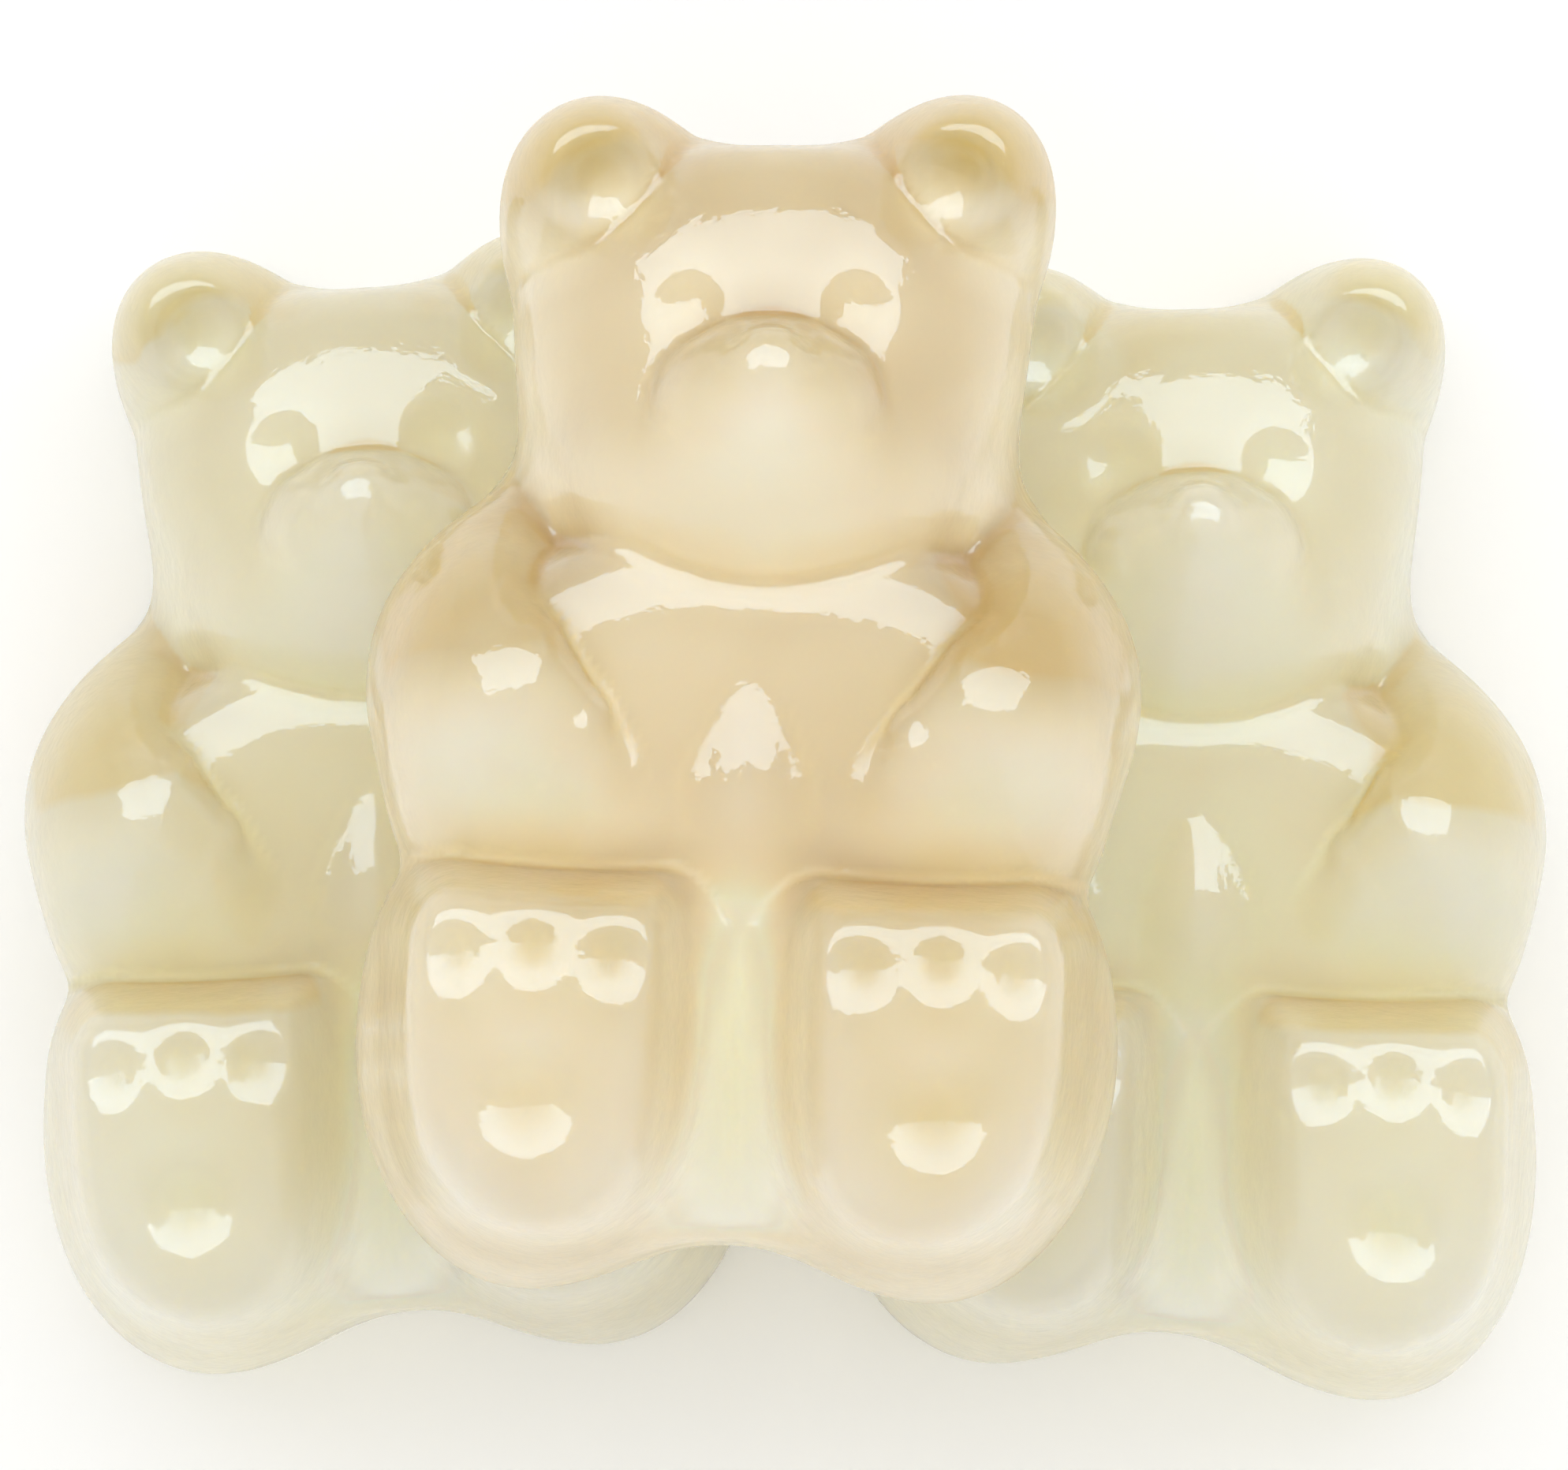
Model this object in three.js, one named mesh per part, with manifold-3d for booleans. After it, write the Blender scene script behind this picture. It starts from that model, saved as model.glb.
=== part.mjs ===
// Three moulded gummy bears lying in a small heap: two flat on their backs, side by side, and a third across them.
// Millimetres, +Z up. In a bear's own axes x is across, y runs from the feet (0) to the ears, z from its flat back (0) to its soles and nose.
import * as THREE from 'three';
import Module from 'manifold-3d';

// ---- driving sizes of one bear ----
const HEAD_HALF_WIDTH = 4.95, HEAD_MID_Y = 19.03, HEAD_HALF_HEIGHT = 2.88, HEAD_CORNER = 2.7;
const EAR_X = 3.45, EAR_Y = 21.06, EAR_RADIUS = 1.78;
const ARM_X = 4.78, ARM_Y = 11.6, ARM_HALF = [2.52, 2.43];
const TORSO_HALF_WIDTH = 6.84, TORSO_MID_Y = 10.72, TORSO_HALF_HEIGHT = 4.41, TORSO_CORNER = 3.0;
const LEG_X = 3.85, LEG_Y = 4.84, LEG_HALF = [3.45, 4.84];
const WEB_HALF_WIDTH = 3.49, WEB_MID_Y = 5.74, WEB_HALF_HEIGHT = 4.76, WEB_CORNER = 1.5;
const EAR_BLEND = 1.82, SHOULDER_BLEND = 4.69, HIP_BLEND = 0.36; // fillets of the outline
const SKIRT_HEIGHT = 4.4, SKIRT_ROUND = 2.4, SKIRT_DRAFT = 0.10; // side wall that the mould leaves round the back
const WALL_DRAFT = 0.05, WALL_OFFSET = 0.04;

const SKULL = { at: [0, 17.5, 2.4], half: [4.5, 4.4, 4.45] };
const BROW = { at: [0, 18.1], half: [4.4, 3.6], z: 7.15, y: 18.0, fallBack: 0.135, fallSide: 0.13 }; // forehead, falling away to the back and sides
const JOWL = { at: [0, 15.2, 3.9], half: [3.9, 2.62, 3.85] };
const EAR = { at: [3.5, 21.05, 2.5], half: [1.75, 1.75, 4.25] };
const EAR_DISH = { at: [3.06, 20.58, 7.0], half: [1.0, 1.0, 1.6] };
const MUZZLE = { at: [0, 16.45, 5.9], half: [2.3, 1.92, 2.75] };
const NOSE = { at: [0, 16.95, 8.1], half: [0.8, 0.85, 0.9] };
const EYE = { x: 1.54, y: 18.3, radius: 0.82, depth: 0.21 };

const CHEST = { at: [0, 10.4], half: [6.2, 4.25], z: 6.62, tilt: 0.10, flatBelow: 9.6, edge: 2.4 };
const MOAT = { at: [0, 15.2], half: [2.8, 1.87], reach: 0.58, depth: 0.8 }; // the chest dips towards the chin
const FLANK = { at: [3.4, 8.9, 2.2], half: [3.3, 3.6, 4.3] };
const BELLY = { top: 11.9, halfWidth: 0.35, growth: 0.44, span: 2.2, height: 0.5, bottom: 7.2 }; // low mound that widens towards the legs
const UPPER_ARM = { at: [4.95, 10.9, 3.2], half: [2.2, 3.5, 4.1] };
const FOREARM = { from: [5.3, 10.95, 6.3], to: [4.2, 10.3, 6.2], radii: [1.6, 1.25], narrow: 1.25 };

const HAUNCH = { at: [3.85, 4.6, 2.4], half: [3.1, 4.2, 5.0] };
const SOLE = { x: 3.36, midY: 3.85, half: [2.56, 3.45], corner: 0.8, heelAt: [3.38, 5.4], heelHalf: [2.7, 3.95], z: 9.38, tilt: 0.015, edge: 1.1, draft: 0.22, toeDraft: 0.04 };
const TROUGH = { top: 6.7, radius: 1.1, z: 9.4, squash: 0.5 };
const WEB = { midY: 4.2, half: [2.3, 3.9], corner: 1.6, z: 6.5, topY: 7.0, slope: 0.26, edge: 1.8 };
const TOE = { x: 3.63, y: 6.34, pitch: 1.45, drop: 0.05, rise: 0.12, z: 9.81, half: [0.6, 0.62, 0.7] };
const PAD = { at: [3.68, 3.7, 9.85], half: [0.95, 0.95, 0.85] };

const BEAR_MID_Y = 11.0;  // the point of a bear that its place is given for

// ---- where the bears lie ----
const REST_HEIGHT = 9.4;  // back of the upper bear, resting on the highest soles below it
const BEARS = [
  { name: 'bear_left', at: [-8.13, -1.62, 0], turn: 3.0, scale: 1.0, sway: 0.23, feet: 1.48, ears: 0.76, colour: 0xddd6ac },
  { name: 'bear_right', at: [8.19, -2.06, 0], turn: -1.38, scale: 1.0, sway: -0.24, feet: -4.14, ears: 2.67, colour: 0xdfd7ae },
  { name: 'bear_front', at: [-0.62, -0.05, REST_HEIGHT], turn: -2.52, scale: 0.99, sway: 0.08, feet: 0.39, ears: 2.65, colour: 0xe3cf9d },
];

// ---- meshing ----
const CELL = 0.42, BELOW = 0.9, PULLS = 4, TRIM_TOLERANCE = 0.066, LEAST = 1e-4;

const { min, max, abs, sqrt, hypot, tan, PI } = Math;
const clamp = (t, lo, hi) => min(max(t, lo), hi);
const smoothStep = (t) => { t = clamp(t, 0, 1); return t * t * (3 - 2 * t); };
const join = (a, b, k) => { const h = max(k - abs(a - b), 0) / k; return min(a, b) - h * h * k * 0.25; };   // filleted union
const carve = (a, b, k) => -join(-a, -b, k);                                                                // filleted intersection

function ellipsoid(x, y, z, { at, half }) {
  const px = (x - at[0]) / half[0], py = (y - at[1]) / half[1], pz = (z - at[2]) / half[2];
  const k0 = hypot(px, py, pz), k1 = hypot(px / half[0], py / half[1], pz / half[2]);
  return k0 * (k0 - 1) / max(k1, 1e-6);
}
function ellipse(x, y, at, half) {
  const px = (x - at[0]) / half[0], py = (y - at[1]) / half[1];
  const k0 = hypot(px, py), k1 = hypot(px / half[0], py / half[1]);
  return k0 * (k0 - 1) / max(k1, 1e-6);
}
function roundedBox(x, y, cy, half, r) {
  const qx = abs(x) - (half[0] - r), qy = abs(y - cy) - (half[1] - r);
  return min(max(qx, qy), 0) + hypot(max(qx, 0), max(qy, 0)) - r;
}
function capsule(x, y, z, from, to, radii) {
  const d = [to[0] - from[0], to[1] - from[1], to[2] - from[2]];
  const t = clamp(((x - from[0]) * d[0] + (y - from[1]) * d[1] + (z - from[2]) * d[2]) / (d[0] ** 2 + d[1] ** 2 + d[2] ** 2), 0, 1);
  return hypot(x - from[0] - t * d[0], y - from[1] - t * d[1], z - from[2] - t * d[2]) - (radii[0] + t * (radii[1] - radii[0]));
}
function dimple(x, y, cx, cy, r) {
  const q = clamp(1 - ((x - cx) ** 2 + (y - cy) ** 2) / (r * r), 0, 1);
  return q * q * (1.5 - 0.5 * q);
}

// outline of the flat back
function outline(x, y) {
  const head = roundedBox(x, y, HEAD_MID_Y, [HEAD_HALF_WIDTH, HEAD_HALF_HEIGHT], HEAD_CORNER);
  const ear = ellipse(x, y, [EAR_X, EAR_Y], [EAR_RADIUS, EAR_RADIUS]);
  const arm = ellipse(x, y, [ARM_X, ARM_Y], ARM_HALF);
  const torso = roundedBox(x, y, TORSO_MID_Y, [TORSO_HALF_WIDTH, TORSO_HALF_HEIGHT], TORSO_CORNER);
  const leg = ellipse(x, y, [LEG_X, LEG_Y], LEG_HALF);
  const web = roundedBox(x, y, WEB_MID_Y, [WEB_HALF_WIDTH, WEB_HALF_HEIGHT], WEB_CORNER);
  const upper = join(join(head, ear, EAR_BLEND), join(arm, torso, 1.6), SHOULDER_BLEND);
  return join(upper, join(leg, web, 1.4), HIP_BLEND);
}

function headField(x, y, z) {
  let d = ellipsoid(x, y, z, SKULL);
  const fall = BROW.fallBack * (1 - 0.035 * min(x * x, 6)) * max(y - BROW.y, 0) ** 2 + BROW.fallSide * x * x;
  d = join(d, carve(ellipse(x, y, BROW.at, BROW.half), 0.85 * (z - BROW.z + fall), 0.8), 0.6);
  d = join(d, ellipsoid(x, y, z, JOWL), 1.0);
  d = join(d, ellipsoid(x, y, z, EAR), 0.16);
  d = carve(d, -ellipsoid(x, y, z, EAR_DISH), 0.6);
  // the muzzle meets the brow in a crisp crease and runs softly into the chin
  const muzzle = join(ellipsoid(x, y, z, MUZZLE), ellipsoid(x, y, z, NOSE), 0.3);
  return join(d, muzzle, 0.12 + 0.8 * smoothStep((16.7 - y) / 2.2));
}

function trunkField(x, y, z) {
  const moat = MOAT.depth * max(MOAT.reach - ellipse(x, y, MOAT.at, MOAT.half), 0) ** 2;
  const chest = carve(ellipse(x, y, CHEST.at, CHEST.half), z - CHEST.z - CHEST.tilt * (max(y, CHEST.flatBelow) - 11) + moat, CHEST.edge);
  let d = join(chest, ellipsoid(x, y, z, FLANK), 1.2);
  const wide = BELLY.halfWidth + BELLY.growth * clamp(BELLY.top - y, 0, BELLY.span);
  d -= BELLY.height * smoothStep(1 - x / wide) * smoothStep((BELLY.top - y) / 2.4) * smoothStep((y - BELLY.bottom) / 2.2) * smoothStep(z - 5);
  d = join(d, join(ellipsoid(x, y, z, UPPER_ARM), capsule(x * FOREARM.narrow, y, z, FOREARM.from, FOREARM.to, FOREARM.radii), 0.7), 0.1 + 0.9 * smoothStep((10.9 - y) / 1.4));
  d = join(d, ellipsoid(x, y, z, HAUNCH), 0.8);
  const sole = carve(roundedBox(x - SOLE.x, y, SOLE.midY, SOLE.half, SOLE.corner), ellipse(x, y, SOLE.heelAt, SOLE.heelHalf), 0.8);
  const draft = SOLE.draft + SOLE.toeDraft * smoothStep((y - 5.6) / 1.4);
  d = join(d, carve(sole + draft * (z - 9), z - SOLE.z - SOLE.tilt * (y - 4.3), SOLE.edge), 0.12);
  const trough = capsule(x, y, (z - TROUGH.z) * TROUGH.squash, [0, -4, 0], [0, TROUGH.top, 0], [TROUGH.radius, TROUGH.radius]);
  d = carve(d, -trough, 1.1);
  const web = carve(roundedBox(x, y, WEB.midY, WEB.half, WEB.corner), z - WEB.z - WEB.slope * min(y - WEB.topY, 0), WEB.edge);
  return join(d, web, 0.9);
}

// negative inside a bear; its back is left open downwards and cut flat afterwards
function bearField(px, y, z) {
  const x = sqrt(px * px + 0.01), flat = outline(x, y);
  const skirt = carve(flat + SKIRT_DRAFT * z, z - SKIRT_HEIGHT, SKIRT_ROUND);
  let d = join(headField(x, y, z), trunkField(x, y, z), 0.35);
  d = join(d, skirt, 1.2);
  d = carve(d, flat - WALL_OFFSET + WALL_DRAFT * z, 0.35);
  const front = smoothStep(z - 4.5);
  d += EYE.depth * dimple(x, y, EYE.x, EYE.y, EYE.radius) * front;
  for (const i of [-1, 0, 1]) {
    const at = [TOE.x + i * TOE.pitch, TOE.y + (i === 0 ? TOE.rise : -TOE.drop), TOE.z];
    d = carve(d, -ellipsoid(x, y, z, { at, half: TOE.half }), 0.42);
  }
  d = carve(d, -ellipsoid(x, y, z, PAD), 0.35);
  return carve(d, -z - BELOW, 0.3);
}

// a closed skin of quads round the negative region of the field
function skin() {
  const lo = [-8.4, -1.05, -BELOW - 0.6], hi = [8.4, 24.0, 10.6];
  const n = [0, 1, 2].map((i) => Math.ceil((hi[i] - lo[i]) / CELL) + 1);
  const at = (i, j, k) => (i * n[1] + j) * n[2] + k;
  const v = new Float64Array(n[0] * n[1] * n[2]);
  for (let i = 0; i < n[0]; i++) for (let j = 0; j < n[1]; j++) for (let k = 0; k < n[2]; k++)
    v[at(i, j, k)] = bearField(lo[0] + i * CELL, lo[1] + j * CELL, lo[2] + k * CELL);
  const step = [n[1] * n[2], n[2], 1];
  const corner = []; for (let c = 0; c < 8; c++) corner.push((c & 1 ? step[0] : 0) + (c & 2 ? step[1] : 0) + (c & 4 ? step[2] : 0));

  // where two walls would meet in one cell, the gap between them is filled
  const faces = [[0, 1, 2, 3], [4, 5, 6, 7], [0, 1, 4, 5], [2, 3, 6, 7], [0, 2, 4, 6], [1, 3, 5, 7]];
  for (let round = 0, left = 1; left > 0; round++) {
    if (round > 60) throw new Error('the skin does not close cleanly');
    const fill = new Set();
    for (let i = 0; i < n[0] - 1; i++) for (let j = 0; j < n[1] - 1; j++) for (let k = 0; k < n[2] - 1; k++) {
      const o = at(i, j, k), inside = corner.map((c) => v[o + c] < 0), count = inside.filter(Boolean).length;
      if (count < 2 || count > 6) continue;
      const fillLeast = (list) => {
        const outer = list.filter((c) => !inside[c]).sort((a, b) => v[o + corner[a]] - v[o + corner[b]]);
        fill.add(o + corner[outer[0]]);
      };
      for (const f of faces)
        if (inside[f[0]] === inside[f[3]] && inside[f[1]] === inside[f[2]] && inside[f[0]] !== inside[f[1]]) fillLeast(f);
      for (let c = 0; c < 4; c++) {
        if (count === 2 && inside[c] && inside[7 - c]) fillLeast([0, 1, 2, 3, 4, 5, 6, 7]);
        if (count === 6 && !inside[c] && !inside[7 - c]) fillLeast([c]);
      }
    }
    for (const o of fill) v[o] = -LEAST;
    left = fill.size;
  }

  // one vertex in each crossed cell
  const index = new Map(), points = [];
  const edges = []; for (let c = 0; c < 8; c++) for (let a = 0; a < 3; a++) if (!(c & (1 << a))) edges.push([c, c | (1 << a), a]);
  for (let i = 0; i < n[0] - 1; i++) for (let j = 0; j < n[1] - 1; j++) for (let k = 0; k < n[2] - 1; k++) {
    const o = at(i, j, k), sum = [0, 0, 0]; let hits = 0;
    for (const [c, e, a] of edges) {
      const p = v[o + corner[c]], q = v[o + corner[e]];
      if ((p < 0) === (q < 0)) continue;
      const w = [c & 1 ? 1 : 0, c & 2 ? 1 : 0, c & 4 ? 1 : 0]; w[a] += p / (p - q);
      for (let m = 0; m < 3; m++) sum[m] += w[m];
      hits++;
    }
    if (!hits) continue;
    index.set(o, points.length);
    points.push([lo[0] + (i + sum[0] / hits) * CELL, lo[1] + (j + sum[1] / hits) * CELL, lo[2] + (k + sum[2] / hits) * CELL]);
  }
  const quads = [];
  for (let i = 0; i < n[0] - 1; i++) for (let j = 0; j < n[1] - 1; j++) for (let k = 0; k < n[2] - 1; k++) {
    const o = at(i, j, k), place = [i, j, k];
    for (let a = 0; a < 3; a++) {
      const b = (a + 1) % 3, c = (a + 2) % 3;
      if (!place[b] || !place[c]) continue;
      const here = v[o] < 0;
      if (here === (v[o + step[a]] < 0)) continue;
      const q = [o - step[b] - step[c], o - step[c], o, o - step[b]].map((m) => index.get(m));
      quads.push(here ? q : q.reverse());
    }
  }

  // pull every vertex onto the true surface
  for (let pull = 0; pull < PULLS; pull++) for (const p of points) {
    const e = 1e-3, g = [
      (bearField(p[0] + e, p[1], p[2]) - bearField(p[0] - e, p[1], p[2])) / (2 * e),
      (bearField(p[0], p[1] + e, p[2]) - bearField(p[0], p[1] - e, p[2])) / (2 * e),
      (bearField(p[0], p[1], p[2] + e) - bearField(p[0], p[1], p[2] - e)) / (2 * e)];
    const f = bearField(...p) / max(g[0] ** 2 + g[1] ** 2 + g[2] ** 2, LEAST);
    const far = hypot(f * g[0], f * g[1], f * g[2]), keep = min(1, 0.4 * CELL / max(far, 1e-9));
    for (let m = 0; m < 3; m++) p[m] -= keep * f * g[m];
  }
  return { points, quads };
}

// every triangle of the skin, each quad split along its shorter diagonal
function triangles({ points, quads }) {
  const far = (a, b) => hypot(points[a][0] - points[b][0], points[a][1] - points[b][1], points[a][2] - points[b][2]);
  return quads.flatMap(([a, b, c, d]) => (far(a, c) < far(b, d) ? [a, b, c, a, c, d] : [a, b, d, b, c, d]));
}

// a hand-poured piece is never quite straight: the head sways, the feet and the ears turn a little
function bend([x, y, z], { sway, feet, ears }) {
  const low = 1 - smoothStep((y - 1) / 9), high = smoothStep((y - 14) / 7), rad = PI / 180;
  return [x + sway * smoothStep((y - 9) / 6), y + x * (tan(feet * rad) * low + tan(ears * rad) * high), z];
}

const wasm = await Module();
wasm.setup();
const mould = skin();
const whole = new wasm.Manifold(new wasm.Mesh({
  numProp: 3, vertProperties: new Float32Array(mould.points.flat()), triVerts: new Uint32Array(triangles(mould)),
}));
const cut = whole.trimByPlane([0, 0, 1], 0).simplify(TRIM_TOLERANCE).getMesh();

const group = new THREE.Group();
for (const bear of BEARS) {
  const turn = new THREE.Matrix4().makeRotationZ(bear.turn * PI / 180);
  const put = new THREE.Matrix4().makeTranslation(...bear.at).multiply(turn).multiply(new THREE.Matrix4().makeScale(bear.scale, bear.scale, bear.scale));
  const out = new Float32Array(cut.numVert * 3);
  for (let i = 0; i < cut.numVert; i++) {
    const p = bend([0, 1, 2].map((m) => cut.vertProperties[i * cut.numProp + m]), bear);
    new THREE.Vector3(p[0], p[1] - BEAR_MID_Y, p[2]).applyMatrix4(put).toArray(out, i * 3);
  }
  const geometry = new THREE.BufferGeometry();
  geometry.setAttribute('position', new THREE.BufferAttribute(out, 3));
  geometry.setIndex([...cut.triVerts]);
  geometry.computeVertexNormals();
  const mesh = new THREE.Mesh(geometry, new THREE.MeshStandardMaterial({ color: bear.colour, roughness: 0.12, metalness: 0 }));
  mesh.name = bear.name;
  group.add(mesh);
}

// origin at the middle of the base of the heap
const box = new THREE.Box3().setFromObject(group);
for (const mesh of group.children) mesh.geometry.translate(-(box.min.x + box.max.x) / 2, -(box.min.y + box.max.y) / 2, -box.min.z);

export default group;
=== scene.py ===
import math
import bpy
import numpy as np
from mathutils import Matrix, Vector


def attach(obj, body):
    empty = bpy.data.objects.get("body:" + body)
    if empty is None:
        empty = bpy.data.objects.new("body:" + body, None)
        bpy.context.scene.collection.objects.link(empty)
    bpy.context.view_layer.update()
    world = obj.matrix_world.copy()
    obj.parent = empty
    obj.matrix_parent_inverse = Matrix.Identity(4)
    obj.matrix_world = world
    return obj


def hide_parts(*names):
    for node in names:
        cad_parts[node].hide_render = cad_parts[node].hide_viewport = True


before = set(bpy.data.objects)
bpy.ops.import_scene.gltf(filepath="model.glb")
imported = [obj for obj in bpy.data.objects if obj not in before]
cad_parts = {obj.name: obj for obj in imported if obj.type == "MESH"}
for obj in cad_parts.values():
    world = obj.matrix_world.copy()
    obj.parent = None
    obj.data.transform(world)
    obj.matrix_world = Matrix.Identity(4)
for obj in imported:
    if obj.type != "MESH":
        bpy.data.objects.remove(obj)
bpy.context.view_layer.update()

# ---------------------------------------------------------------- sizes, millimetres
CELL = 0.14
SHIFT = (-0.021, 0.8794)  # moves the heap so that the middle of its base is the origin, as in the frame
AIM = (SHIFT[0], SHIFT[1], 5.0)
CAMERA_FAR, CAMERA_UP, FOCAL_PX, IMAGE_W = 118.0, 87.0, 63.6 * 118.0, 1988

BEARS = {
    "bear_left": dict(at=(-8.13, -1.62, 0.0), turn=3.0, scale=1.0, sway=0.23, feet=1.48, ears=0.76),
    "bear_right": dict(at=(8.19, -2.06, 0.0), turn=-1.38, scale=1.0, sway=-0.24, feet=-4.14, ears=2.67),
    "bear_front": dict(at=(-0.62, -0.05, 9.4), turn=-2.52, scale=0.99, sway=0.08, feet=0.39, ears=2.65),
}


# ---------------------------------------------------------------- the shape of one bear, as a distance field
def smin(a, b, k):
    h = np.maximum(k - np.abs(a - b), 0.0) / k
    return np.minimum(a, b) - h * h * k * 0.25


def smax(a, b, k):
    return -smin(-a, -b, k)


def ell3(x, y, z, c, r):
    px, py, pz = (x - c[0]) / r[0], (y - c[1]) / r[1], (z - c[2]) / r[2]
    k0 = np.sqrt(px * px + py * py + pz * pz)
    k1 = np.sqrt((px / r[0]) ** 2 + (py / r[1]) ** 2 + (pz / r[2]) ** 2)
    return k0 * (k0 - 1.0) / np.maximum(k1, 1e-6)


def ell2(x, y, c, r):
    px, py = (x - c[0]) / r[0], (y - c[1]) / r[1]
    k0 = np.sqrt(px * px + py * py)
    k1 = np.sqrt((px / r[0]) ** 2 + (py / r[1]) ** 2)
    return k0 * (k0 - 1.0) / np.maximum(k1, 1e-6)


def rbox2(x, y, c, h, r):
    qx, qy = np.abs(x - c[0]) - (h[0] - r), np.abs(y - c[1]) - (h[1] - r)
    return np.minimum(np.maximum(qx, qy), 0) + np.hypot(np.maximum(qx, 0), np.maximum(qy, 0)) - r


def cone3(x, y, z, a, b, ra, rb):
    ab = np.array(b, float) - np.array(a, float)
    t = np.clip(((x - a[0]) * ab[0] + (y - a[1]) * ab[1] + (z - a[2]) * ab[2]) / (ab @ ab), 0, 1)
    return np.sqrt((x - a[0] - t * ab[0]) ** 2 + (y - a[1] - t * ab[1]) ** 2 + (z - a[2] - t * ab[2]) ** 2) - (ra + t * (rb - ra))


def sstep(t):
    t = np.clip(t, 0.0, 1.0)
    return t * t * (3.0 - 2.0 * t)


def pit(x, y, cx, cy, r):
    q = np.clip(1.0 - ((x - cx) ** 2 + (y - cy) ** 2) / (r * r), 0.0, 1.0)
    return q * q * (1.5 - 0.5 * q)


def outline(ax, y):
    d = smin(rbox2(ax, y, (0, 19.03), (4.95, 2.88), 2.7), ell2(ax, y, (3.45, 21.06), (1.78, 1.78)), 1.82)
    shoulders = smin(ell2(ax, y, (4.78, 11.6), (2.52, 2.43)), rbox2(ax, y, (0, 10.72), (6.84, 4.41), 3.0), 1.6)
    d = smin(d, shoulders, 4.69)
    hips = smin(ell2(ax, y, (3.85, 4.84), (3.45, 4.84)), rbox2(ax, y, (0, 5.74), (3.49, 4.76), 1.5), 1.4)
    return smin(d, hips, 0.36)


def bear(x, y, z):
    ax = np.sqrt(x * x + 0.01)
    d2 = outline(ax, y)
    skirt = smax(d2 + 0.10 * z, z - 4.4, 2.4)
    # head: skull, brow, jowls, dished ears, and a muzzle with a crisp top edge
    head = ell3(ax, y, z, (0, 17.5, 2.4), (4.5, 4.4, 4.45))
    brow = smax(ell2(ax, y, (0, 18.1), (4.4, 3.6)), 0.85 * (z - 7.15 + 0.135 * (1 - 0.035 * np.minimum(x * x, 6)) * np.maximum(y - 18.0, 0) ** 2 + 0.13 * x * x), 0.8)
    head = smin(head, brow, 0.6)
    head = smin(head, ell3(ax, y, z, (0, 15.2, 3.9), (3.9, 2.62, 3.85)), 1.0)
    head = smin(head, ell3(ax, y, z, (3.5, 21.05, 2.5), (1.75, 1.75, 4.25)), 0.16)
    head = smax(head, -ell3(ax, y, z, (3.06, 20.58, 7.0), (1.0, 1.0, 1.6)), 0.6)
    snout = smin(ell3(ax, y, z, (0, 16.45, 5.9), (2.3, 1.92, 2.75)), ell3(ax, y, z, (0, 16.95, 8.1), (0.8, 0.85, 0.9)), 0.3)
    head = smin(head, snout, 0.12 + 0.8 * sstep((16.7 - y) / 2.2))
    # trunk: chest, flanks, a belly wedge that widens downwards, arms folded on the chest
    moat = 0.8 * np.maximum(0.58 - ell2(ax, y, (0, 15.2), (2.8, 1.87)), 0) ** 2
    chest = smax(ell2(ax, y, (0, 10.4), (6.2, 4.25)), z - 6.62 - 0.10 * (np.maximum(y, 9.6) - 11.0) + moat, 2.4)
    trunk = smin(chest, ell3(ax, y, z, (3.4, 8.9, 2.2), (3.3, 3.6, 4.3)), 1.2)
    wide = 0.35 + 0.44 * np.clip(11.9 - y, 0.0, 2.2)
    trunk = trunk - 0.5 * sstep(1.0 - ax / wide) * sstep((11.9 - y) / 2.4) * sstep((y - 7.2) / 2.2) * sstep(z - 5.0)
    arm = ell3(ax, y, z, (4.95, 10.9, 3.2), (2.2, 3.5, 4.1))
    arm = smin(arm, cone3(ax * 1.25, y, z, (5.3, 10.95, 6.3), (4.2, 10.3, 6.2), 1.6, 1.25), 0.7)
    trunk = smin(trunk, arm, 0.1 + 0.9 * sstep((10.9 - y) / 1.4))
    # legs: haunches, and feet whose soles face forward
    trunk = smin(trunk, ell3(ax, y, z, (3.85, 4.6, 2.4), (3.1, 4.2, 5.0)), 0.8)
    sole = smax(rbox2(ax - 3.36, y, (0, 3.85), (2.56, 3.45), 0.8), ell2(ax, y, (3.38, 5.4), (2.7, 3.95)), 0.8)
    draft = 0.22 + 0.04 * sstep((y - 5.6) / 1.4)
    trunk = smin(trunk, smax(sole + draft * (z - 9.0), z - 9.38 - 0.015 * (y - 4.3), 1.1), 0.12)
    trunk = smax(trunk, -cone3(ax, y, (z - 9.4) * 0.5, (0, -4.0, 0), (0, 6.7, 0), 1.1, 1.1), 1.1)
    web = smax(rbox2(ax, y, (0, 4.2), (2.3, 3.9), 1.6), z - 6.5 - 0.26 * np.minimum(y - 7.0, 0), 1.8)
    trunk = smin(trunk, web, 0.9)
    d = smin(smin(head, trunk, 0.35), skirt, 1.2)
    d = smax(d, d2 - 0.04 + 0.05 * z, 0.35)
    # eyes, toes and pads
    d = d + 0.21 * pit(ax, y, 1.54, 18.3, 0.82) * sstep(z - 4.5)
    for tx, ty in ((-1.45, -0.05), (0.0, 0.12), (1.45, -0.05)):
        d = smax(d, -ell3(ax, y, z, (3.63 + tx, 6.34 + ty, 9.81), (0.6, 0.62, 0.7)), 0.42)
    d = smax(d, -ell3(ax, y, z, (3.68, 3.7, 9.85), (0.95, 0.95, 0.85)), 0.35)
    return smax(d, -z, 0.3)


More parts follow.
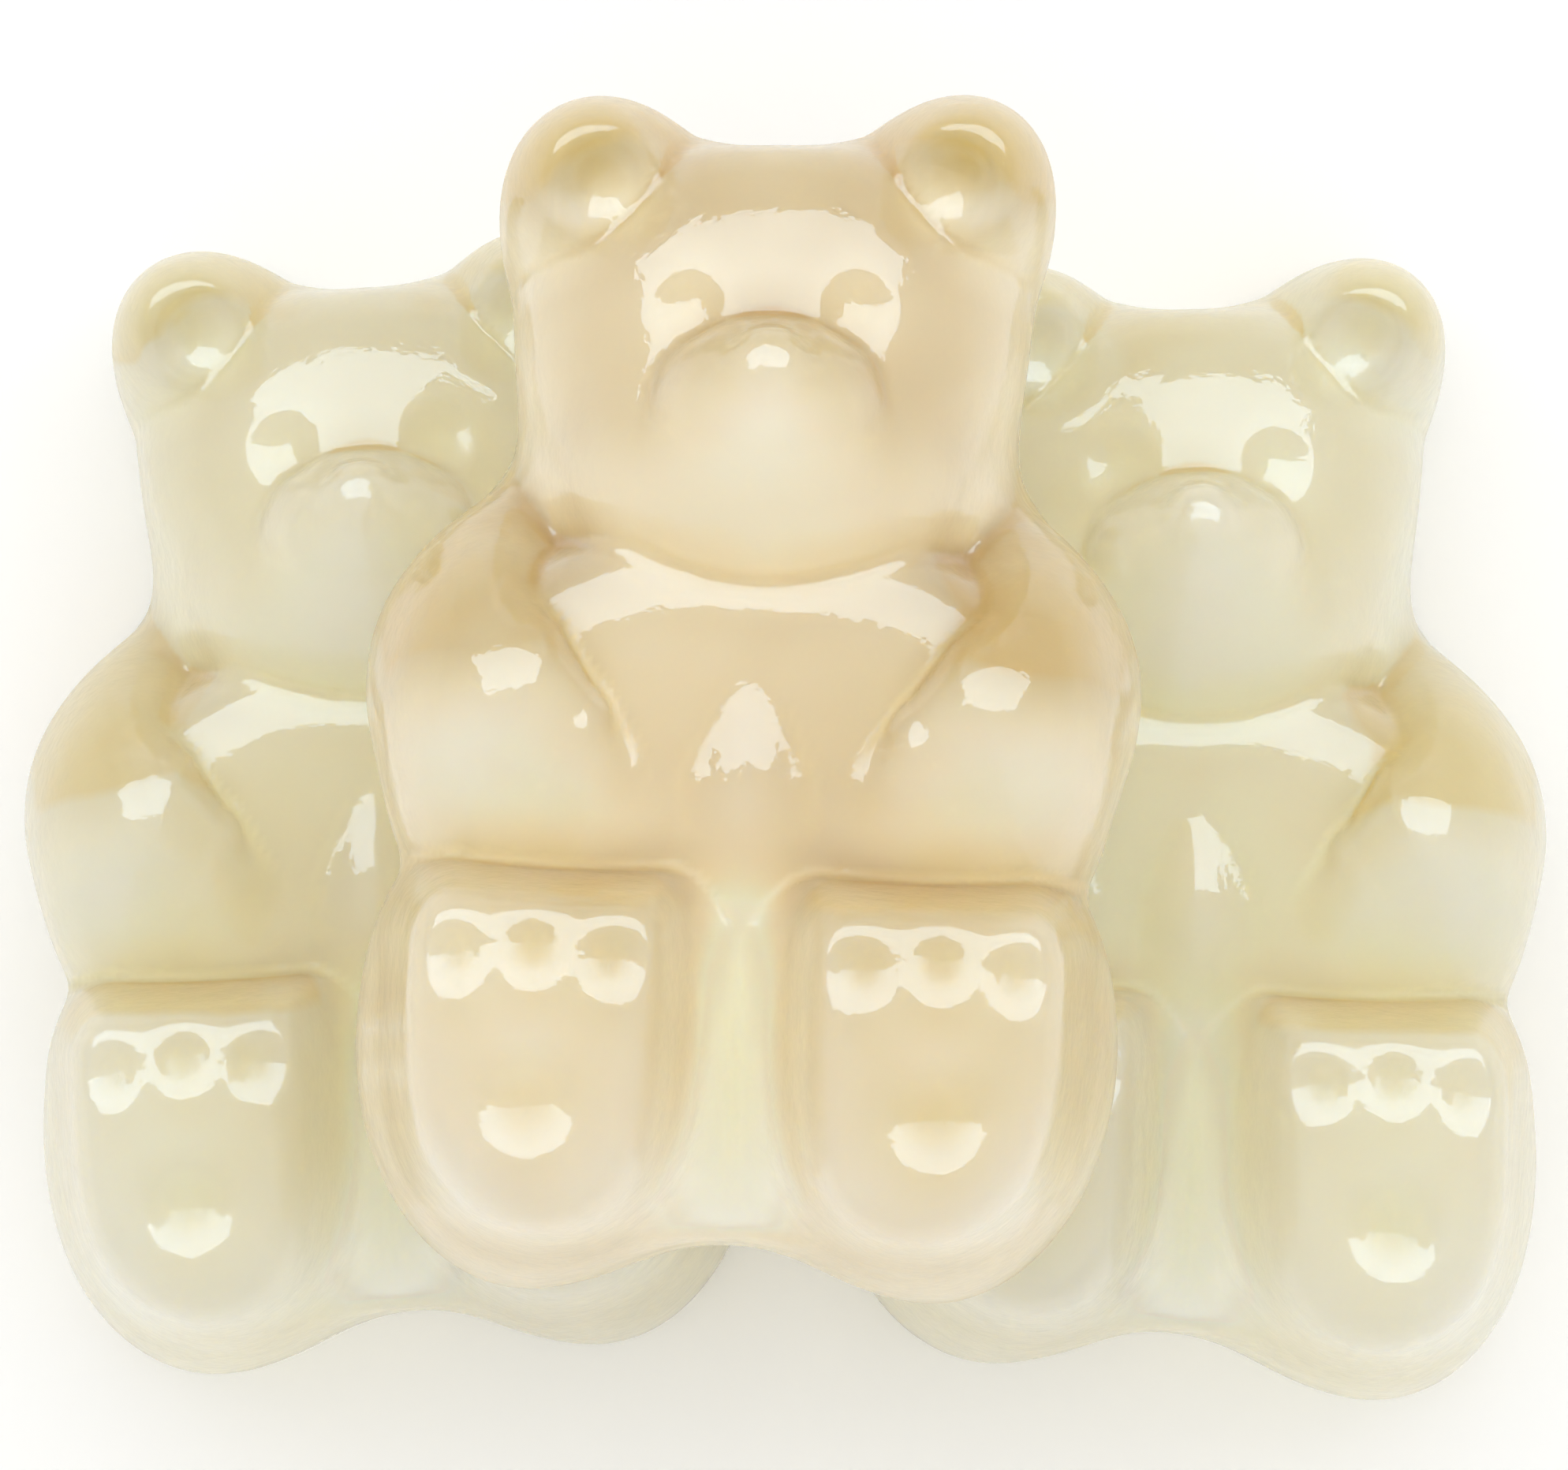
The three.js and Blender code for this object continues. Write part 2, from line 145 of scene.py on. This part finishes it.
# ---------------------------------------------------------------- a closed quad skin round the field
def clean_signs(V):
    """Fills the corners that would make two walls meet in one cell, so that the skin stays a plain closed one."""
    for _ in range(40):
        S = V < 0
        bad = []
        for a, b in ((0, 1), (0, 2), (1, 2)):
            def part(i, j):
                sl = [slice(None)] * 3
                sl[a] = slice(i, V.shape[a] - 1 + i)
                sl[b] = slice(j, V.shape[b] - 1 + j)
                return S[tuple(sl)]
            s00, s11, s10, s01 = part(0, 0), part(1, 1), part(1, 0), part(0, 1)
            for w in np.argwhere((s00 == s11) & (s10 == s01) & (s00 != s10)):
                c = []
                for i in (0, 1):
                    for j in (0, 1):
                        q = w.copy()
                        q[a] += i
                        q[b] += j
                        if not S[tuple(q)]:
                            c.append((V[tuple(q)], tuple(q)))
                bad.append(min(c)[1])
        n = [k - 1 for k in V.shape]
        blocks = {(i, j, k): S[i:n[0] + i, j:n[1] + j, k:n[2] + k] for i in (0, 1) for j in (0, 1) for k in (0, 1)}
        count = sum(b.astype(np.int8) for b in blocks.values())
        for (i, j, k), B in blocks.items():
            O = blocks[(1 - i, 1 - j, 1 - k)]
            for w in np.argwhere((count == 2) & B & O):
                bad.append(min((V[tuple(w + q)], tuple(w + q)) for q in map(np.array, blocks) if not S[tuple(w + q)])[1])
            for w in np.argwhere((count == 6) & ~B & ~O):
                bad.append(tuple(w + np.array((i, j, k))))
        if not bad:
            return V
        for q in set(bad):
            V[q] = -1e-4
    raise RuntimeError("the skin does not close cleanly")


def skin(f, lo, hi, cell, pulls=4):
    n = [int(np.ceil((hi[i] - lo[i]) / cell)) + 1 for i in range(3)]
    V = clean_signs(f(*np.meshgrid(*[lo[i] + cell * np.arange(n[i]) for i in range(3)], indexing="ij")))
    S = V < 0
    corners = [(i, j, k) for i in (0, 1) for j in (0, 1) for k in (0, 1)]
    count = sum(S[i:n[0] - 1 + i, j:n[1] - 1 + j, k:n[2] - 1 + k].astype(np.int8) for i, j, k in corners)
    active = (count > 0) & (count < 8)
    ijk = np.argwhere(active)
    index = -np.ones(active.shape, np.int64)
    index[active] = np.arange(len(ijk))
    total, hits = np.zeros((len(ijk), 3)), np.zeros(len(ijk))
    for a in corners:
        for d in range(3):
            if a[d]:
                continue
            b = list(a)
            b[d] = 1
            va, vb = V[tuple((ijk + a).T)], V[tuple((ijk + b).T)]
            m = (va < 0) != (vb < 0)
            p = ijk + np.array(a, float)
            p[:, d] += np.where(m, va / np.where(m, va - vb, 1), 0)
            total += np.where(m[:, None], p, 0)
            hits += m
    P = np.array(lo) + cell * total / hits[:, None]
    quads = []
    for d in range(3):
        u, v = (d + 1) % 3, (d + 2) % 3
        s0, s1 = [slice(None)] * 3, [slice(None)] * 3
        s0[d], s1[d] = slice(0, n[d] - 1), slice(1, n[d])
        A = S[tuple(s0)]
        e = np.argwhere(A != S[tuple(s1)])
        e = e[(e[:, u] > 0) & (e[:, v] > 0) & (e[:, u] < n[u] - 1) & (e[:, v] < n[v] - 1)]
        q = []
        for du, dv in ((-1, -1), (0, -1), (0, 0), (-1, 0)):
            w = e.copy()
            w[:, u] += du
            w[:, v] += dv
            q.append(index[tuple(w.T)])
        q = np.stack(q, 1)
        out = ~A[tuple(e.T)]
        q[out] = q[out][:, ::-1]
        quads.append(q)
    for _ in range(pulls):
        G = normals_of(f, P)
        step = (f(*P.T) / np.maximum((G * G).sum(1), 1e-4))[:, None] * G
        P = P - step * np.minimum(1, 0.5 * cell / np.maximum(np.linalg.norm(step, axis=1, keepdims=True), 1e-9))
    return P, np.concatenate(quads)


def normals_of(f, P, e=1e-3):
    G = np.zeros_like(P)
    for i in range(3):
        d = np.zeros(3)
        d[i] = e
        G[:, i] = (f(*(P + d).T) - f(*(P - d).T)) / (2 * e)
    return G


def place(P, at, turn, scale, sway, feet, ears):
    """A poured piece is never quite straight: the head sways, the feet and the ears turn a little."""
    x, y, z = P.T
    low, high = 1 - sstep((y - 1) / 9), sstep((y - 14) / 7)
    y2 = y + x * (np.tan(np.radians(feet)) * low + np.tan(np.radians(ears)) * high)
    Q = np.stack([x + sway * sstep((y - 9) / 6), y2 - 11.0, z], 1) * scale
    c, s = math.cos(math.radians(turn)), math.sin(math.radians(turn))
    Q = Q @ np.array([[c, s, 0], [-s, c, 0], [0, 0, 1.0]])
    return (Q + np.array(at) + np.array([SHIFT[0], SHIFT[1], 0])) / 1000


# ---------------------------------------------------------------- material
def gel(name, gold, mid, pale, clear, seed):
    """Cloudy gelatine gel under a polished skin. Its base colour carries painted light and shade from a vertex
    attribute: painted shade makes it deeper gold on the sides that face the lamps, towards the ears, and painted light
    makes it paler towards the feet and where it is thin.
    """
    mat = bpy.data.materials.new(name)
    mat.use_nodes = True
    nt = mat.node_tree
    L, N = nt.links.new, nt.nodes.new
    bsdf, out = nt.nodes["Principled BSDF"], nt.nodes["Material Output"]
    where = N("ShaderNodeVectorMath")
    where.operation = "ADD"
    where.inputs[1].default_value = (0.0371 * seed, 0.0173 * seed, 0.0059 * seed)
    L(N("ShaderNodeTexCoord").outputs["Object"], where.inputs[0])

    def noise(scale, detail=3.0, rough=0.5):
        n = N("ShaderNodeTexNoise")
        n.inputs["Scale"].default_value = scale
        n.inputs["Detail"].default_value = detail
        n.inputs["Roughness"].default_value = rough
        L(where.outputs[0], n.inputs["Vector"])
        return n.outputs["Fac"]

    def remap(src, a, b, lo, hi):
        m = N("ShaderNodeMapRange")
        m.inputs["From Min"].default_value, m.inputs["From Max"].default_value = a, b
        m.inputs["To Min"].default_value, m.inputs["To Max"].default_value = lo, hi
        L(src, m.inputs["Value"])
        return m.outputs["Result"]

    # colour: the vertex attribute of painted light and shade runs from -1, pale painted light, to 1, deep gold painted
    # shade, with clouds about 5 mm across
    painted_shading = N("ShaderNodeAttribute")
    painted_shading.attribute_name = "painted_shading"
    add = N("ShaderNodeMath")
    add.operation = "ADD"
    L(painted_shading.outputs["Fac"], add.inputs[0])
    L(remap(noise(190.0, 2.0), 0.3, 0.7, -0.22, 0.22), add.inputs[1])
    ramp = N("ShaderNodeValToRGB")
    e = ramp.color_ramp.elements
    e[0].position, e[0].color = 0.10, (*pale, 1)
    e[1].position, e[1].color = 0.90, (*gold, 1)
    light = [min(1.0, a * c) for a, c in zip((1.12, 0.97, 0.99), pale)]
    deep = [a * c for a, c in zip((0.95, 0.84, 0.60), gold)]
    for at, colour in ((0.50, mid), (0.0, light), (1.0, deep)):
        m = e.new(at)
        m.color = (*colour, 1)
    L(remap(add.outputs[0], -1.0, 1.0, 0.0, 1.0), ramp.inputs["Fac"])
    L(ramp.outputs["Color"], bsdf.inputs["Base Color"])

    bsdf.inputs["IOR"].default_value = 1.42
    L(remap(painted_shading.outputs["Fac"], -1.7, -1.1, 0.4 * clear, clear), bsdf.inputs["Transmission Weight"])
    bsdf.inputs["Subsurface Weight"].default_value = 1.0
    bsdf.inputs["Subsurface Radius"].default_value = (1.0, 0.92, 0.75)
    bsdf.inputs["Subsurface Scale"].default_value = 0.010
    bsdf.inputs["Subsurface Anisotropy"].default_value = 0.7
    shine = N("ShaderNodeAttribute")
    shine.attribute_name = "shine"
    L(shine.outputs["Fac"], bsdf.inputs["Coat Weight"])
    bsdf.inputs["Specular IOR Level"].default_value = 0.15
    bsdf.inputs["Coat IOR"].default_value = 1.7
    bsdf.inputs["Coat Roughness"].default_value = 0.02
    L(remap(noise(260.0, 3.0, 0.6), 0.3, 0.7, 0.46, 0.56), bsdf.inputs["Roughness"])

    # the long waves of the cast skin, and a fine grain that the polish follows
    def bump(height, strength, distance, under=None):
        n = N("ShaderNodeBump")
        n.inputs["Strength"].default_value = strength
        n.inputs["Distance"].default_value = distance
        L(height, n.inputs["Height"])
        if under:
            L(under, n.inputs["Normal"])
        return n.outputs["Normal"]

    wave = bump(noise(420.0, 2.0), 0.35, 0.0002)
    L(wave, bsdf.inputs["Normal"])
    L(bump(noise(2700.0, 2.0, 0.6), 0.50, 0.00003, wave), bsdf.inputs["Coat Normal"])

    tint = N("ShaderNodeVolumeAbsorption")
    tint.inputs["Color"].default_value = (0.88, 0.64, 0.08, 1)
    tint.inputs["Density"].default_value = 38.0
    L(tint.outputs[0], out.inputs["Volume"])

    # lamps reach through the gel to what lies behind it
    path, through, mix = N("ShaderNodeLightPath"), N("ShaderNodeBsdfTransparent"), N("ShaderNodeMixShader")
    through.inputs[0].default_value = (0.68, 0.69, 0.71, 1)
    L(path.outputs["Is Shadow Ray"], mix.inputs[0])
    L(bsdf.outputs[0], mix.inputs[1])
    L(through.outputs[0], mix.inputs[2])
    L(mix.outputs[0], out.inputs["Surface"])
    return mat


# piece: material slot, gold, middle and pale colour, how clear, seed of its clouds
LOOKS = {
    "bear_left": ("gel_left", (0.73, 0.66, 0.46), (0.875, 0.815, 0.61), (0.965, 0.91, 0.77), 0.46, 1),
    "bear_right": ("gel_right", (0.76, 0.69, 0.47), (0.895, 0.835, 0.64), (0.96, 0.91, 0.77), 0.46, 2),
    "bear_front": ("gel_front", (0.60, 0.48, 0.27), (0.81, 0.705, 0.50), (0.98, 0.89, 0.76), 0.46, 3),
}

P, Q = skin(bear, (-8.3, -1.0, -0.7), (8.3, 24.0, 11.5), CELL)
quads = Q.tolist()
G = normals_of(bear, P, 0.9)
G1 = normals_of(bear, P)
# painted light and shade: sides facing the lamps (+Y) are painted deeper gold, sides facing away paler, as light
# through the gel would make them
painted_shading = G[:, 1] / np.maximum(np.linalg.norm(G, axis=1), 1e-6)
topside = 1 - sstep((-G1[:, 1] / np.maximum(np.linalg.norm(G1, axis=1), 1e-6) - 0.35) / 0.5)
# painted light: paler where the gel is thin, less so on sides facing +Y, and on the up-facing floor of the trough
# between the legs
painted_shading -= (0.65 - 0.3 * sstep((7.0 - P[:, 1]) / 3)) * sstep((5.9 - P[:, 2]) / 2.2) * np.clip(1 - 1.4 * painted_shading, 0, 1)
painted_shading -= 1.5 * topside * sstep((7.6 - P[:, 2]) / 1.6) * sstep((2.4 - np.abs(P[:, 0])) / 1.2) * sstep((8.5 - P[:, 1]) / 2)
# painted shade: a little deeper gold towards the head, the side of the lamps
painted_shading += 0.02 * (P[:, 1] - 9.0)
# painted shade: deeper gold on the steep sides, where light crosses more gel, less so on the feet
feet = sstep((8.4 - P[:, 1]) / 0.8) * sstep((P[:, 2] - 4.5) / 1.5) * sstep((5.9 - np.abs(P[:, 0])) / 0.6) * sstep((P[:, 1] - 0.8) / 0.8)
painted_shading += (1.1 - 0.8 * feet) * (1 - np.abs(G1[:, 2]) / np.maximum(np.linalg.norm(G1, axis=1), 1e-6)) ** 2
# painted shade: deeper gold at the lower ends of the feet, against the paler painted light on their downward sides
painted_shading += 0.95 * sstep((2.6 - P[:, 1]) / 2.0)


def spot(x, y, rx, ry):
    return np.exp(-((np.abs(P[:, 0]) - x) / rx) ** 2 - ((P[:, 1] - y) / ry) ** 2) * sstep((P[:, 2] - 1.0) / 4.5)


# painted shade: deeper gold at the ear tips and the shoulders; painted light: paler on the chin and under the arms
painted_shading += 0.8 * spot(5.7, 12.6, 1.8, 1.8) - 0.42 * spot(0, 15.1, 3.0, 1.5) - 0.5 * spot(5.6, 10.2, 1.3, 1.1)
tips = spot(3.9, 21.7, 2.0, 1.5)
painted_shading = np.minimum(painted_shading + 2.0 * tips, 1.02 - 0.22 * sstep((P[:, 1] - 14.5) / 2.5) + 0.5 * tips)
# the polish is dull in the deepest creases of the trunk; painted shade also makes the creases round the face a little
# deeper in colour
e = 0.22
hollow = sum(bear(*(P + s * e * np.eye(3)[i]).T) for i in range(3) for s in (-1, 1)) - 6 * bear(*P.T)
crease = np.clip(-hollow / (e * np.maximum((G1 * G1).sum(1) ** 0.5, 0.3)) - 0.12, 0, 1)
low = sstep((13.4 - P[:, 1]) / 0.8)
shine = (1 - np.clip(2.2 * crease, 0, 1) * low) * (1 - 0.9 * spot(0.3, 7.8, 0.9, 0.8))
upright = np.abs(G1[:, 2]) / np.maximum(np.linalg.norm(G1, axis=1), 1e-6)
shine *= 1 - 0.7 * sstep((0.45 - upright) / 0.45) * sstep((P[:, 2] - 0.3) / 1.0)
# painted shade: creases round the face deeper gold; painted light: creases of the trunk, the eye pits and the ear
# dishes paler
painted_shading += 0.5 * crease * (1 - low) - 0.3 * crease * low - 0.5 * spot(1.54, 18.3, 0.8, 0.8) - 1.2 * spot(3.06, 20.5, 0.9, 0.9)
for name, spec in BEARS.items():
    me = bpy.data.meshes.new(name + "_gel")
    me.from_pydata(place(P, **spec).tolist(), [], quads)
    me.polygons.foreach_set("use_smooth", np.ones(len(me.polygons), bool))
    me.attributes.new("painted_shading", "FLOAT", "POINT").data.foreach_set("value", painted_shading.astype(np.float32))
    me.attributes.new("shine", "FLOAT", "POINT").data.foreach_set("value", shine.astype(np.float32))
    me.update()
    me.materials.append(gel(*LOOKS[name]))
    o = bpy.data.objects.new(name + "_gel", me)
    bpy.context.scene.collection.objects.link(o)
    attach(o, "root")
    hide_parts(name)

# light goes through the gel a few times only
cycles = bpy.context.scene.cycles
cycles.max_bounces, cycles.transmission_bounces, cycles.diffuse_bounces, cycles.adaptive_threshold = 8, 6, 2, 0.19

# ---------------------------------------------------------------- floor, light and camera
def plain(name, colour, rough):
    m = bpy.data.materials.new(name)
    m.use_nodes = True
    b = m.node_tree.nodes["Principled BSDF"]
    b.inputs["Base Color"].default_value = (*colour, 1)
    b.inputs["Roughness"].default_value = rough
    b.inputs["Specular IOR Level"].default_value = 0.0
    return m


fm = bpy.data.meshes.new("floor")
FLOOR_Z = -0.00004  # a hair under the bears, so that light leaves their backs cleanly
fm.from_pydata([(-6, -6, FLOOR_Z), (6, -6, FLOOR_Z), (6, 6, FLOOR_Z), (-6, 6, FLOOR_Z)], [], [(0, 1, 2, 3)])
floor = bpy.data.objects.new("floor", fm)
bpy.context.scene.collection.objects.link(floor)
fm.materials.append(plain("floor_white", (0.97, 0.972, 0.97), 0.9))

world = bpy.data.worlds.new("studio")
bpy.context.scene.world = world
world.use_nodes = True
world.node_tree.nodes["Background"].inputs[0].default_value = (1.0, 1.0, 0.99, 1)
world.node_tree.nodes["Background"].inputs[1].default_value = 0.84


def softbox(name, up, reach, half_up, half_side, radiance, colour=(1, 1, 1), side=0.0, shine=True, soft=True):
    """A flat panel. up: degrees off the vertical towards +Y of its middle; half_up and half_side: half its angles from the heap; shine, soft: whether it shows in the polish, and whether it lights the gel."""
    a, s = math.radians(up), math.radians(side)
    to = Vector((math.sin(s) * math.sin(a), math.cos(s) * math.sin(a), math.cos(a)))
    ld = bpy.data.lights.new(name, "AREA")
    ld.shape = "RECTANGLE"
    ld.size, ld.size_y = 2 * reach * math.tan(math.radians(half_side)), 2 * reach * math.tan(math.radians(half_up))
    ld.energy = radiance * math.pi * ld.size * ld.size_y
    ld.color = colour
    o = bpy.data.objects.new(name, ld)
    bpy.context.scene.collection.objects.link(o)
    o.location = to * reach
    o.rotation_mode = "QUATERNION"
    o.rotation_quaternion = to.to_track_quat("Z", "Y")
    o.visible_camera = False
    o.visible_glossy, o.visible_diffuse = shine, soft
    return o


softbox("softbox", 39.0, 0.32, 27.0, 55.0, 3.2, (0.62, 0.80, 1.0), soft=False)
softbox("glow", 39.0, 0.32, 27.0, 55.0, 1.5, shine=False)

cam = bpy.data.objects.new("camera", bpy.data.cameras.new("camera"))
bpy.context.scene.collection.objects.link(cam)
e = math.radians(CAMERA_UP)
back = Vector((0, -math.cos(e), math.sin(e)))
cam.location = Vector(AIM) / 1000 + back * CAMERA_FAR / 1000
cam.rotation_mode = "QUATERNION"
cam.rotation_quaternion = (-back).to_track_quat("-Z", "Y")
cam.data.sensor_fit, cam.data.sensor_width = "HORIZONTAL", 36.0
cam.data.lens = 36.0 * FOCAL_PX / IMAGE_W
cam.data.clip_start, cam.data.clip_end = 0.005, 50.0
bpy.context.scene.camera = cam
bpy.context.scene.view_settings.view_transform = "Standard"
